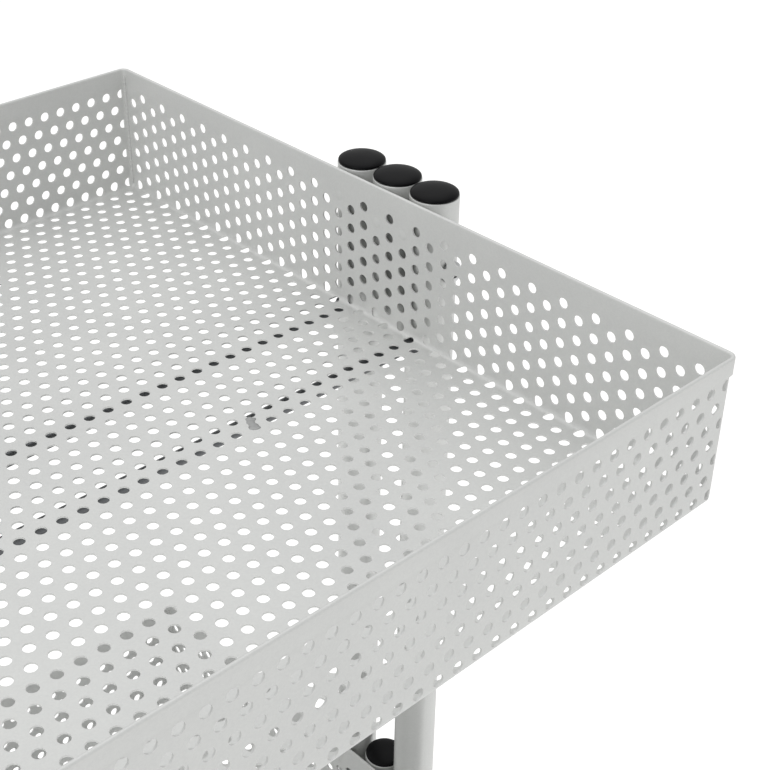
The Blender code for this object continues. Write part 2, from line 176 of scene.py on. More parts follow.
def punched_blank():
    """The flat blank, its inner face up, centred on the tray."""
    bm = bmesh.new()
    for kind, (plain_below, holes, plain_above) in enumerate(COLUMN_KINDS):
        x = FIRST_COLUMN + kind * COLUMN_PITCH
        first_cell = BLANK_LOW + plain_below * ROW_PITCH / 2
        before = set(bm.verts)
        punched_cell(bm, x, first_cell + ROW_PITCH / 2)
        cell = [vert for vert in bm.verts if vert not in before]
        cell += list({face for vert in cell for face in vert.link_faces})
        repeat(bm, cell, (0, ROW_PITCH, 0), holes - 1)
        for step in range(plain_below):
            plain_cell(bm, x, BLANK_LOW + step * ROW_PITCH / 2)
        for step in range(plain_above):
            plain_cell(bm, x, first_cell + holes * ROW_PITCH + step * ROW_PITCH / 2)
    repeat(bm, bm.verts[:] + bm.edges[:] + bm.faces[:], (2 * COLUMN_PITCH, 0, 0), COLUMN_PAIRS - 1)
    bmesh.ops.remove_doubles(bm, verts=bm.verts, dist=0.02 * MM)
    bmesh.ops.recalc_face_normals(bm, faces=bm.faces)
    if bm.faces[:][0].normal.z < 0:
        bmesh.ops.reverse_faces(bm, faces=bm.faces)
    return bm


def cut_line(bm, axis, distance, trim=False):
    """Cut the blank across at this distance from the middle, on both sides."""
    for side in (-1, 1):
        direction = Vector((0, 0, 0))
        direction[axis] = side
        bmesh.ops.bisect_plane(bm, geom=bm.verts[:] + bm.edges[:] + bm.faces[:], dist=0.001 * MM,
                               plane_co=direction * distance, plane_no=direction, clear_outer=trim)


def folded(distance, flat_end):
    """How far out, and how far up, a point of the blank comes to lie once its wall is folded."""
    beyond = max(0, abs(distance) - flat_end)
    turn = min(beyond / INSIDE_BEND, math.pi / 2)
    out = min(abs(distance), flat_end) + INSIDE_BEND * math.sin(turn)
    up = INSIDE_BEND * (1 - math.cos(turn)) + max(0, beyond - bend_run)
    return math.copysign(out, distance), up


def crown(x, y):
    """How far the punched floor stands up above flat: most in the middle, nothing at the walls."""
    return FLOOR_CROWN * max(0, 1 - (x / flat_x) ** 2) * max(0, 1 - (y / flat_y) ** 2)


def fold_blank(bm):
    for vert in bm.verts:
        out_x, up_x = folded(vert.co.x, flat_x)
        out_y, up_y = folded(vert.co.y, flat_y)
        vert.co = (out_x, out_y, SHEET + up_x + up_y + crown(vert.co.x, vert.co.y))
    bm.normal_update()


def on_floor(place):
    return abs(place.x) < flat_x - FLOOR_MARGIN and abs(place.y) < flat_y - FLOOR_MARGIN


def on_walls(place):
    in_corner = abs(place.x) > flat_x and abs(place.y) > flat_y
    return not (in_corner or on_floor(place))


def part_of(bm, belongs):
    """A copy of the faces whose middle belongs."""
    part = bm.copy()
    others = [face for face in part.faces if not belongs(face.calc_center_median())]
    bmesh.ops.delete(part, geom=others, context="FACES")
    return part


def sheet_mesh(bm, name):
    """Give the folded surface its thickness, outwards, and turn it into a mesh."""
    bmesh.ops.solidify(bm, geom=bm.faces[:], thickness=SHEET)
    return closed_mesh(bm, name)


def closed_mesh(bm, name, sharp=35):
    mesh = bpy.data.meshes.new(name)
    bm.to_mesh(mesh)
    bm.free()
    mesh.shade_smooth()
    mesh.set_sharp_from_angle(angle=math.radians(sharp))
    return mesh


def fit(mesh, name, material, body, slot, *stands_for, place=Matrix()):
    """Hang a copy of a finished mesh on its body, in place of the CAD nodes it stands for."""
    placed = mesh.copy()
    placed.name = name
    placed.transform(place)
    placed.materials.clear()
    placed.materials.append(material)
    piece = bpy.data.objects.new(name, placed)
    bpy.context.scene.collection.objects.link(piece)
    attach(piece, body)
    if stands_for:
        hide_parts(*stands_for)
    return piece


blank = punched_blank()
cut_line(blank, 0, flat_x + bend_run + wall_run, trim=True)
cut_line(blank, 1, flat_y + bend_run + wall_run, trim=True)
cut_line(blank, 0, flat_x - FLOOR_MARGIN)
cut_line(blank, 1, flat_y - FLOOR_MARGIN)
for bend_step in range(BEND_STEPS + 1):
    cut_line(blank, 0, flat_x + bend_run * bend_step / BEND_STEPS)
    cut_line(blank, 1, flat_y + bend_run * bend_step / BEND_STEPS)
floor_part = part_of(blank, on_floor)
walls_part = part_of(blank, on_walls)
blank.free()
fold_blank(floor_part)
fold_blank(walls_part)
floor_mesh = sheet_mesh(floor_part, "tray_floor")
walls_mesh = sheet_mesh(walls_part, "tray_walls")

powder_coat = silver_powder_coat("silver_powder_coat", 0.15)
tray_bottoms = {tier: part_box("tray_" + tier)[0].z for tier in TIERS}
for tier, bottom in tray_bottoms.items():
    fit(floor_mesh, "tray_" + tier + "_floor", powder_coat, "trolley_frame", "silver_powder_coat",
        "tray_" + tier, place=Matrix.Translation((0, 0, bottom)))
    fit(walls_mesh, "tray_" + tier + "_walls", powder_coat, "trolley_frame", "silver_powder_coat",
        place=Matrix.Translation((0, 0, bottom)))

# ---------------------------------------------------------------------------------------------
# Tray rims.  The top of each wall is folded out and down over itself into an open hem, 8 mm deep
# outside, so the rim is smooth and stiff.  The cut corners below it are closed and welded.

HEM_FROM = 8 * MM                  # the folded-down edge ends this far below the rim
HEM_TOP_RADIUS = 0.95 * MM
HEM_GAP = 0.3 * MM                 # air between the wall and the folded-down edge
RIM_TURN_STEPS = 8
BEAD_RADIUS = 0.8 * MM
BEAD_RIPPLE = 1.3 * MM             # one ripple of the weld
BEAD_FROM = 3 * MM
BEAD_SIDES = 8


def arc(middle, radius, start, stop, steps):
    """Points of a round stretch of an outline, from one angle to another in degrees."""
    points = []
    for step in range(steps + 1):
        angle = math.radians(start + (stop - start) * step / steps)
        points.append((middle[0] + radius * math.cos(angle), middle[1] + radius * math.sin(angle)))
    return points


def closed_wire(bm, places):
    """A closed outline through these places, as vertices and edges."""
    corners = [bm.verts.new(place) for place in places]
    edges = [bm.edges.new((corners[i - 1], corners[i])) for i in range(len(corners))]
    return corners + edges


def hem_outline():
    """Section of the hem as (outwards from the wall's inner face, height)."""
    top = TRAY_HEIGHT - HEM_TOP_RADIUS
    low = TRAY_HEIGHT - HEM_FROM
    outside = SHEET + HEM_OUT
    flap = SHEET + HEM_GAP
    outline = [(SHEET, SHEET_TOP), (0, SHEET_TOP)]
    outline += arc((HEM_TOP_RADIUS, top), HEM_TOP_RADIUS, 180, 0, 8)
    outline += [(outside, low + 0.2 * MM), (outside - 0.2 * MM, low), (flap, low), (flap, top)]
    outline += arc((SHEET + HEM_GAP / 2, top), HEM_GAP / 2, 0, 180, 4)[1:]
    return outline


def rim_mesh():
    """The hem swept along the four sides and round the four corners."""
    bm = bmesh.new()
    section = closed_wire(bm, [(half_width + out, -flat_y, height) for out, height in hem_outline()])
    corner_signs = ((1, 1), (-1, 1), (-1, -1), (1, -1))
    at = Vector((flat_x, -flat_y, 0))
    for across, along in corner_signs:
        corner = Vector((across * flat_x, along * flat_y, 0))
        section = bmesh.ops.spin(bm, geom=section, cent=(0, 0, 0), axis=(0, 0, 1), dvec=corner - at,
                                 angle=0, steps=1)["geom_last"]
        section = bmesh.ops.spin(bm, geom=section, cent=corner, axis=(0, 0, 1), angle=math.pi / 2,
                                 steps=RIM_TURN_STEPS)["geom_last"]
        at = corner
    bmesh.ops.remove_doubles(bm, verts=bm.verts, dist=0.005 * MM)
    bmesh.ops.recalc_face_normals(bm, faces=bm.faces)
    return closed_mesh(bm, "tray_rim")


def corner_mesh():
    """The four welded corners: a quarter round of sheet under the hem, with a rippled bead inside."""
    outline = arc((0, SHEET + INSIDE_BEND), INSIDE_BEND, -90, 0, BEND_STEPS)
    outline += [(INSIDE_BEND, SHEET_TOP), (INSIDE_BEND + SHEET, SHEET_TOP)]
    outline += arc((0, SHEET + INSIDE_BEND), INSIDE_BEND + SHEET, 0, -90, BEND_STEPS)
    bm = bmesh.new()
    for quarter in range(4):
        turn = Matrix.Rotation(quarter * math.pi / 2, 4, "Z")
        across = math.copysign(flat_x, (turn @ Vector((1, 1, 0))).x)
        along = math.copysign(flat_y, (turn @ Vector((1, 1, 0))).y)
        corner = bmesh.new()
        section = closed_wire(corner, [(out, 0, height) for out, height in outline])
        bmesh.ops.spin(corner, geom=section, cent=(0, 0, 0), axis=(0, 0, 1), angle=math.pi / 2,
                       steps=RIM_TURN_STEPS)
        bmesh.ops.remove_doubles(corner, verts=corner.verts, dist=0.005 * MM)
        bmesh.ops.holes_fill(corner, edges=corner.edges)
        add_bead(corner)
        bmesh.ops.recalc_face_normals(corner, faces=corner.faces)
        bmesh.ops.transform(corner, verts=corner.verts,
                            matrix=Matrix.Translation((across, along, 0)) @ turn)
        loose = bpy.data.meshes.new("tray_corner")
        corner.to_mesh(loose)
        corner.free()
        bm.from_mesh(loose)
        bpy.data.meshes.remove(loose)
    return closed_mesh(bm, "tray_corners")


def add_bead(bm):
    """A weld bead up the inside of a corner that lies round the Z axis, open towards +X and +Y."""
    made = bmesh.ops.create_circle(bm, segments=BEAD_SIDES, radius=BEAD_RADIUS * 0.4, cap_ends=True)
    in_corner = (INSIDE_BEND + 0.1 * MM) * math.sqrt(0.5)
    bmesh.ops.translate(bm, verts=made["verts"], vec=(in_corner, in_corner, BEAD_FROM))
    ring = list({edge for vert in made["verts"] for edge in vert.link_edges})
    swell = 0.4
    steps = int((SHEET_TOP + 6 * MM - BEAD_FROM) / BEAD_RIPPLE * 2)
    for step in range(steps):
        grown = bmesh.ops.extrude_edge_only(bm, edges=ring)["geom"]
        verts = [item for item in grown if isinstance(item, bmesh.types.BMVert)]
        ring = [item for item in grown if isinstance(item, bmesh.types.BMEdge)
                and all(vert in verts for vert in item.verts)]
        wanted = 1.0 - 0.22 * (step % 2) + 0.12 * math.sin(1.7 * step)
        if step == steps - 1:
            wanted = 0.3
        height = BEAD_FROM + (step + 1) * BEAD_RIPPLE / 2
        middle = Vector((in_corner, in_corner, 0))
        for vert in verts:
            away = Vector((vert.co.x, vert.co.y, 0)) - middle
            vert.co = middle + away * (wanted / swell) + Vector((0, 0, height))
        swell = wanted
    bmesh.ops.contextual_create(bm, geom=ring)


rim = rim_mesh()
corners = corner_mesh()
for tier, bottom in tray_bottoms.items():
    fit(rim, "tray_" + tier + "_rim", powder_coat, "trolley_frame", "silver_powder_coat",
        place=Matrix.Translation((0, 0, bottom)))
    fit(corners, "tray_" + tier + "_corners", powder_coat, "trolley_frame", "silver_powder_coat",
        place=Matrix.Translation((0, 0, bottom)))

# ---------------------------------------------------------------------------------------------
# Rods under the trays.  Two 7 mm steel rods run the length of each tray, from the front uprights
# to the rear ones, welded to them and stoved in enamel.  Their dark grey is painted shade for the
# shadow they lie in under the trays.  The bowed floor clears them except near the walls, and a lump
# of weld has run over a hole above the right one.

ROD_SIDES = 48
ROD_CHAMFER = 0.5 * MM
LUMP_HEIGHT = 0.45 * MM
# x, y, half length, half width, turn in degrees
LUMPS = ((29.9 * MM, 152.4 * MM, 2.3 * MM, 2.0 * MM, 60),
         (31.8 * MM, 151.3 * MM, 2.4 * MM, 1.9 * MM, 150),
         (33.6 * MM, 150.6 * MM, 2.2 * MM, 1.8 * MM, 20),
         (35.4 * MM, 150.1 * MM, 2.5 * MM, 2.3 * MM, 10))


def dark_grey_enamel():
    """Smooth stoved enamel with a metallic base, flowed out glossy, with slight thin and
    thick patches some 12 mm long where it ran along the rod.  Its dark grey is painted shade: the
    rods are coloured darker than the sheet to stand for the shadow they lie in under the trays."""
    enamel = new_material("dark_grey_enamel", {"Metallic": 0.7, "IOR": 1.5})
    place = add_node(enamel, "ShaderNodeTexCoord").outputs["Object"]
    runs = add_node(enamel, "ShaderNodeTexNoise", {"Scale": per_size(12), "Detail": 5.0}, {"Vector": place})
    # Both ends of this mix are dark grey as painted shade for the shadow under the trays; the 12 mm runs
    # between them are the enamel's own.
    tint = add_node(enamel, "ShaderNodeMix", {6: linear_colour("4A4C4E"), 7: linear_colour("66686A")},
                    {0: runs.outputs["Fac"]}, data_type="RGBA")
    gloss = add_node(enamel, "ShaderNodeMapRange", {"To Min": 0.22, "To Max": 0.42},
                     {"Value": runs.outputs["Fac"]})
    bump = add_node(enamel, "ShaderNodeBump", {"Strength": 0.2, "Distance": 0.05 * MM},
                    {"Height": runs.outputs["Fac"]})
    connect(enamel, {"Base Color": tint.outputs[2], "Roughness": gloss.outputs[0],
                     "Normal": bump.outputs[0]})
    return enamel


def weld_metal():
    """Bare weld spatter dressed flat and coated thin, so it shows darker and rougher than the sheet,
    mottled about 1.5 mm across."""
    metal = new_material("dressed_weld", {"Metallic": 0.5})
    place = add_node(metal, "ShaderNodeTexCoord").outputs["Object"]
    mottle = add_node(metal, "ShaderNodeTexNoise", {"Scale": per_size(1.5), "Detail": 4.0}, {"Vector": place})
    tint = add_node(metal, "ShaderNodeMix", {6: linear_colour("8C8D8D"), 7: linear_colour("B2B3B2")},
                    {0: mottle.outputs["Fac"]}, data_type="RGBA")
    rough = add_node(metal, "ShaderNodeMapRange", {"To Min": 0.45, "To Max": 0.7},
                     {"Value": mottle.outputs["Fac"]})
    bump = add_node(metal, "ShaderNodeBump", {"Strength": 0.5, "Distance": 0.1 * MM},
                    {"Height": mottle.outputs["Fac"]})
    connect(metal, {"Base Color": tint.outputs[2], "Roughness": rough.outputs[0],
                    "Normal": bump.outputs[0]})
    return metal


def rod_mesh(low, high):
    """A rod along Y between two corners of its box, its ends chamfered."""
    bm = bmesh.new()
    radius = (high.x - low.x) / 2
    bmesh.ops.create_cone(bm, cap_ends=True, segments=ROD_SIDES, radius1=radius, radius2=radius,
                          depth=high.y - low.y)
    ends = [edge for edge in bm.edges if edge.verts[0].co.z * edge.verts[1].co.z > 0]
    bmesh.ops.bevel(bm, geom=ends, offset=ROD_CHAMFER, segments=2, profile=0.5, affect="EDGES",
                    material=-1)
    bmesh.ops.rotate(bm, verts=bm.verts, matrix=Matrix.Rotation(math.pi / 2, 3, "X"))
    bmesh.ops.translate(bm, verts=bm.verts, vec=(low + high) / 2)
    return closed_mesh(bm, "rod")


def weld_lump(bm, x, y, long, wide, turn):
    """One flattened blob of weld on the floor, its outline pushed in and out a little."""
    size = Matrix.Diagonal((long, wide, LUMP_HEIGHT, 1))
    spot = Matrix.Translation((x, y, SHEET + crown(x, y))) @ Matrix.Rotation(math.radians(turn), 4, "Z")
    made = bmesh.ops.create_uvsphere(bm, u_segments=20, v_segments=8, radius=1)
    for vert in made["verts"]:
        angle = math.atan2(vert.co.y, vert.co.x)
        lobe = 1 + 0.12 * math.sin(3 * angle + x * 900) + 0.07 * math.sin(5 * angle + y * 700)
        vert.co.x *= lobe
        vert.co.y *= lobe
    bmesh.ops.transform(bm, verts=made["verts"], matrix=spot @ size)


def weld_run_mesh():
    bm = bmesh.new()
    for lump in LUMPS:
        weld_lump(bm, *lump)
    return closed_mesh(bm, "weld_run")


enamel = dark_grey_enamel()
weld = weld_metal()
weld_run = weld_run_mesh()
# The rods take the enamel whose dark grey is painted shade for the shadow under the trays.
for tier in TIERS:
    for side in ("left", "right"):
        node = "rail_" + tier + "_" + side
        fit(rod_mesh(*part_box(node)), "rod_" + tier + "_" + side, enamel, "trolley_frame",
            "dark_grey_enamel", node)
fit(weld_run, "weld_run", weld, "trolley_frame", "silver_powder_coat",
    place=Matrix.Translation((0, 0, tray_bottoms["upper"])))

# ---------------------------------------------------------------------------------------------
# Uprights and short centre tubes.  23 mm round steel tube with a 1.5 mm wall: two uprights at each
# end run from the base beam to the top, and a short tube stands between them at every tray.

TUBE_WALL = 1.5 * MM
TUBE_SIDES = 64
TUBE_EDGE = 0.35 * MM
BOLT_HOLE_RADIUS = 3.3 * MM
ENDS = (("front", -1), ("rear", 1))
SIDES = (("left", -1), ("right", 1))


def turned(outline, sides):
    """Spin a closed outline of (radius, height) points all the way round the Z axis."""
    bm = bmesh.new()
    section = closed_wire(bm, [(radius, 0, height) for radius, height in outline])
    bmesh.ops.spin(bm, geom=section, cent=(0, 0, 0), axis=(0, 0, 1), angle=math.tau, steps=sides,
                   use_merge=True)
    bmesh.ops.remove_doubles(bm, verts=bm.verts, dist=0.002 * MM)
    bmesh.ops.recalc_face_normals(bm, faces=bm.faces)
    return bm


def cut_away(mesh, cutters):
    """The mesh with the cutters' shapes taken out of it."""
    thing = bpy.data.objects.new("uncut", mesh)
    bpy.context.scene.collection.objects.link(thing)
    tools = []
    for cutter in cutters:
        tool = bpy.data.objects.new("cutter", cutter)
        bpy.context.scene.collection.objects.link(tool)
        tools.append(tool)
        modifier = thing.modifiers.new("cut", "BOOLEAN")
        modifier.operation = "DIFFERENCE"
        modifier.solver = "EXACT"
        modifier.object = tool
    evaluated = thing.evaluated_get(bpy.context.evaluated_depsgraph_get())
    cut = bpy.data.meshes.new_from_object(evaluated)
    for item in [thing] + tools:
        bpy.data.objects.remove(item)
    cut.shade_smooth()
    cut.set_sharp_from_angle(angle=math.radians(35))
    return cut


def round_bar(radius, length, axis, middle, sides=32):
    """A plain round bar along X, Y or Z."""
    bm = bmesh.new()
    bmesh.ops.create_cone(bm, cap_ends=True, segments=sides, radius1=radius, radius2=radius, depth=length)
    if axis != "Z":
        turn = Matrix.Rotation(math.pi / 2, 3, "Y" if axis == "X" else "X")
        bmesh.ops.rotate(bm, verts=bm.verts, matrix=turn)
    bmesh.ops.translate(bm, verts=bm.verts, vec=middle)
    return closed_mesh(bm, "round_bar")


def tube_mesh(low, high, hole_heights):
    """An upright tube in its box, its two ends deburred, drilled across at these heights."""
    outer = (high.x - low.x) / 2
    inner = outer - TUBE_WALL
    outline = arc((outer - TUBE_EDGE, low.z + TUBE_EDGE), TUBE_EDGE, -90, 0, 3)
    outline += arc((outer - TUBE_EDGE, high.z - TUBE_EDGE), TUBE_EDGE, 0, 90, 3)
    outline += arc((inner + TUBE_EDGE, high.z - TUBE_EDGE), TUBE_EDGE, 90, 180, 3)
    outline += arc((inner + TUBE_EDGE, low.z + TUBE_EDGE), TUBE_EDGE, 180, 270, 3)
    bm = turned(outline, TUBE_SIDES)
    middle = (low + high) / 2
    bmesh.ops.translate(bm, verts=bm.verts, vec=(middle.x, middle.y, 0))
    drills = [round_bar(BOLT_HOLE_RADIUS, 4 * outer, "X", (middle.x, middle.y, height))
              for height in hole_heights]
    return cut_away(closed_mesh(bm, "tube"), drills)


tube_coat = silver_powder_coat("silver_tube_coat", 0.6)
bolt_heights = {tier: sum(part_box("tie_bolt_front_" + tier), Vector()).z / 2 for tier in TIERS}
for end, direction in ENDS:
    for side, sign in SIDES:
        node = "upright_" + end + "_" + side
        fit(tube_mesh(*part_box(node), bolt_heights.values()), node + "_tube", tube_coat, "trolley_frame",
            "silver_powder_coat", node)
    for tier in TIERS:
        node = "centre_tube_" + end + "_" + tier
        fit(tube_mesh(*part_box(node), [bolt_heights[tier]]), node + "_tube", tube_coat, "trolley_frame",
            "silver_powder_coat", node)

# ---------------------------------------------------------------------------------------------
# Tube caps.  Moulded black polyethylene inserts: a ribbed plug grips inside the tube, and a low
# domed disc with a rounded edge sits on the tube's end, a hair smaller than the tube.

CAP_INSET = 0.25 * MM
CAP_SIDE = 0.5 * MM
CAP_PLUG_DEPTH = 12 * MM
CAP_AIR = 0.3 * MM                  # between the tube's end and the disc, and round the plug
DOME_STEPS = 12
PLUG_RIB = 0.5 * MM
PLUG_RIBS = 4


def black_polyethylene():
    """Black low-density polyethylene, injection moulded in a spark-eroded mould: soft sheen, a fine
    grain about 0.6 mm across, lighter scuffs, and dust that catches the light."""
    plastic = new_material("black_polyethylene", {"IOR": 1.51, "Specular IOR Level": 0.1})
    place = add_node(plastic, "ShaderNodeTexCoord").outputs["Object"]
    scuffs = add_node(plastic, "ShaderNodeTexNoise", {"Scale": per_size(9), "Detail": 6.0, "Roughness": 0.7},
                      {"Vector": place})
    grain = add_node(plastic, "ShaderNodeTexNoise", {"Scale": per_size(0.6), "Detail": 2.0},
                     {"Vector": place})
    tint = add_node(plastic, "ShaderNodeMix", {6: linear_colour("040406"), 7: linear_colour("0B0B0D")},
                    {0: scuffs.outputs["Fac"]}, data_type="RGBA")
    sheen = add_node(plastic, "ShaderNodeMapRange", {"To Min": 0.3, "To Max": 0.5},
                     {"Value": scuffs.outputs["Fac"]})
    bump = add_node(plastic, "ShaderNodeBump", {"Strength": 0.3, "Distance": 0.03 * MM},
                    {"Height": grain.outputs["Fac"]})
    connect(plastic, {"Base Color": tint.outputs[2], "Roughness": sheen.outputs[0],
                      "Normal": bump.outputs[0]})
    return plastic


def cap_mesh(low, high):
    """A cap in its box: domed disc, seat on the tube's end, and the ribbed plug below."""
    outer = (high.x - low.x) / 2 - CAP_INSET
    seat = low.z + CAP_PLUG_DEPTH + CAP_AIR
    plug = outer + CAP_INSET - TUBE_WALL - CAP_AIR
    outline = [(0, low.z), (plug - 1 * MM, low.z)]
    rib_pitch = (seat - low.z - 1 * MM) / PLUG_RIBS
    for rib in range(PLUG_RIBS):
        base = low.z + rib * rib_pitch
        outline += [(plug - PLUG_RIB, base + 0.3 * rib_pitch), (plug, base + 0.55 * rib_pitch),
                    (plug - PLUG_RIB, base + 0.8 * rib_pitch)]
    outline += [(plug - PLUG_RIB, seat), (outer - 0.2 * MM, seat), (outer, seat + 0.2 * MM)]
    shoulder = seat + CAP_SIDE
    for step in range(DOME_STEPS + 1):
        angle = math.radians(90 * step / DOME_STEPS)
        outline.append((outer * math.cos(angle), shoulder + (high.z - shoulder) * math.sin(angle)))
    outline[-1] = (0, high.z)
    bm = turned(outline, TUBE_SIDES)
    bmesh.ops.translate(bm, verts=bm.verts, vec=((low.x + high.x) / 2, (low.y + high.y) / 2, 0))
    return closed_mesh(bm, "cap")


plastic = black_polyethylene()
for end, direction in ENDS:
    for side, sign in SIDES:
        node = "upright_cap_" + end + "_" + side
        fit(cap_mesh(*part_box(node)), node + "_insert", plastic, "trolley_frame", "black_polyethylene", node)
    for tier in TIERS:
        node = "centre_cap_" + end + "_" + tier
        fit(cap_mesh(*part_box(node)), node + "_insert", plastic, "trolley_frame", "black_polyethylene", node)

# ---------------------------------------------------------------------------------------------
# Wall welds.  Each end wall is welded to the tubes through one hole of its top row at each tube;
# the filled holes are dressed flush and coated with the tray, so they hardly show.

FILL_RADIUS = 3.1 * MM
FILL_HALF_THICKNESS = 0.7 * MM
# x of each filled hole, and its height above the tray's underside at the front and at the rear
FILLED_HOLES = ((-25.28 * MM, 53.93 * MM, 56.53 * MM), (0.65 * MM, 49.13 * MM, 51.73 * MM),
                (17.93 * MM, 49.13 * MM, 51.73 * MM))


def fill_mesh():
    """A flat lens of weld that closes a hole, standing a little proud on both sides."""
    bm = bmesh.new()
    bmesh.ops.create_uvsphere(bm, u_segments=32, v_segments=12, radius=1)
    bmesh.ops.transform(bm, verts=bm.verts, matrix=Matrix.Rotation(math.pi / 2, 4, "X") @ Matrix.Diagonal(
        (FILL_RADIUS, FILL_RADIUS, FILL_HALF_THICKNESS, 1)))
    return closed_mesh(bm, "fill")


fill = fill_mesh()
wall_middle = half_length + SHEET / 2
for tier, bottom in tray_bottoms.items():
    for number, (across, front_height, rear_height) in enumerate(FILLED_HOLES, start=1):
        for end, direction, height in (("front", -1, front_height), ("rear", 1, rear_height)):
            fit(fill, "wall_weld_" + tier + "_" + end + "_" + str(number), powder_coat, "trolley_frame",
                "silver_powder_coat",
                place=Matrix.Translation((across, direction * wall_middle, bottom + height)))

# ---------------------------------------------------------------------------------------------
# Tie bolts.  One furniture connector bolt at each tray and end ties the short tube between its two
# uprights: a zinc plated shank, and a low button head with a hexagon socket at each end.

BOLT_RADIUS = 3 * MM
BUTTON_RADIUS = 5.5 * MM
BUTTON_HEIGHT = 3.2 * MM
BUTTON_EDGE = 1.0 * MM
BUTTON_DOME = 2.6 * MM
SOCKET_RADIUS = 2.3 * MM
SOCKET_DEPTH = 1.9 * MM


def zinc_plate():
    """Bright zinc plated steel with clear passivation: silvery, faintly blue in places, with cloudy
    patches about 5 mm across that are a little duller."""
    zinc = new_material("bright_zinc_plate", {"Metallic": 1.0})
    place = add_node(zinc, "ShaderNodeTexCoord").outputs["Object"]
    cloud = add_node(zinc, "ShaderNodeTexNoise", {"Scale": per_size(5), "Detail": 5.0}, {"Vector": place})
    tint = add_node(zinc, "ShaderNodeMix", {6: linear_colour("B0B3B8"), 7: linear_colour("C8C8C4")},
                    {0: cloud.outputs["Fac"]}, data_type="RGBA")
    gloss = add_node(zinc, "ShaderNodeMapRange", {"To Min": 0.2, "To Max": 0.42},
                     {"Value": cloud.outputs["Fac"]})
    fine = add_node(zinc, "ShaderNodeTexNoise", {"Scale": per_size(0.8), "Detail": 2.0}, {"Vector": place})
    bump = add_node(zinc, "ShaderNodeBump", {"Strength": 0.15, "Distance": 0.03 * MM},
                    {"Height": fine.outputs["Fac"]})
    connect(zinc, {"Base Color": tint.outputs[2], "Roughness": gloss.outputs[0],
                   "Normal": bump.outputs[0]})
    return zinc


def tie_bolt_mesh(low, high):
    """A bolt along X in its box, with a socket sunk in each head."""
    reach = (high.x - low.x) / 2
    under = reach - BUTTON_HEIGHT
    half = [(BOLT_RADIUS, under), (BUTTON_RADIUS, under), (BUTTON_RADIUS, under + BUTTON_EDGE)]
    half += [(BUTTON_RADIUS - (1 - math.cos(math.radians(turn))) * BUTTON_DOME,
              under + BUTTON_EDGE + (BUTTON_HEIGHT - BUTTON_EDGE) * math.sin(math.radians(turn)))
             for turn in (20, 40, 60, 80, 90)]
    half.append((0, reach))
    bm = turned([(radius, -along) for radius, along in reversed(half)] + half, 32)
    sockets = []
    for end in (-1, 1):
        tool = bmesh.new()
        bmesh.ops.create_cone(tool, cap_ends=True, segments=6, radius1=SOCKET_RADIUS, radius2=SOCKET_RADIUS,
                              depth=2 * SOCKET_DEPTH)
        bmesh.ops.translate(tool, verts=tool.verts, vec=(0, 0, end * reach))
        sockets.append(closed_mesh(tool, "hexagon"))
    mesh = cut_away(closed_mesh(bm, "tie_bolt"), sockets)
    mesh.transform(Matrix.Translation((low + high) / 2) @ Matrix.Rotation(math.pi / 2, 4, "Y"))
    return mesh


zinc = zinc_plate()
for end, direction in ENDS:
    for tier in TIERS:
        node = "tie_bolt_" + end + "_" + tier
        fit(tie_bolt_mesh(*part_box(node)), node + "_connector", zinc, "trolley_frame", "zinc_plated_steel",
            node)

# ---------------------------------------------------------------------------------------------
# Base beams.  A 40 by 20 mm rectangular steel tube lies across each end; the uprights are welded on
# top, the caster studs come up through it, and a black push-in cap closes each end.

BEAM_WALL = 1.5 * MM
BEAM_CORNER = 3 * MM
STEM_HOLE_RADIUS = 5.3 * MM
WELD_THROAT = 1.6 * MM
WELD_STEPS = 96
WELD_SIDES = 10


def box_tube_mesh(low, high, hole_places):
    """A box tube along X with rounded corners, open at both ends, drilled from below."""
    size = high - low
    bm = bmesh.new()
    bmesh.ops.create_cube(bm, size=1, matrix=Matrix.Diagonal((*size, 1)))
    ends = [face for face in bm.faces if abs(face.normal.x) > 0.5]
    bmesh.ops.delete(bm, geom=ends, context="FACES_ONLY")
    long_edges = [edge for edge in bm.edges if abs((edge.verts[0].co - edge.verts[1].co).x) > size.x / 2]
    bmesh.ops.bevel(bm, geom=long_edges, offset=BEAM_CORNER, segments=5, profile=0.5, affect="EDGES",
                    material=-1)
    bmesh.ops.solidify(bm, geom=bm.faces[:], thickness=BEAM_WALL)
    bmesh.ops.translate(bm, verts=bm.verts, vec=(low + high) / 2)
    drills = [round_bar(STEM_HOLE_RADIUS, size.z, "Z", place) for place in hole_places]
    return cut_away(closed_mesh(bm, "beam"), drills)


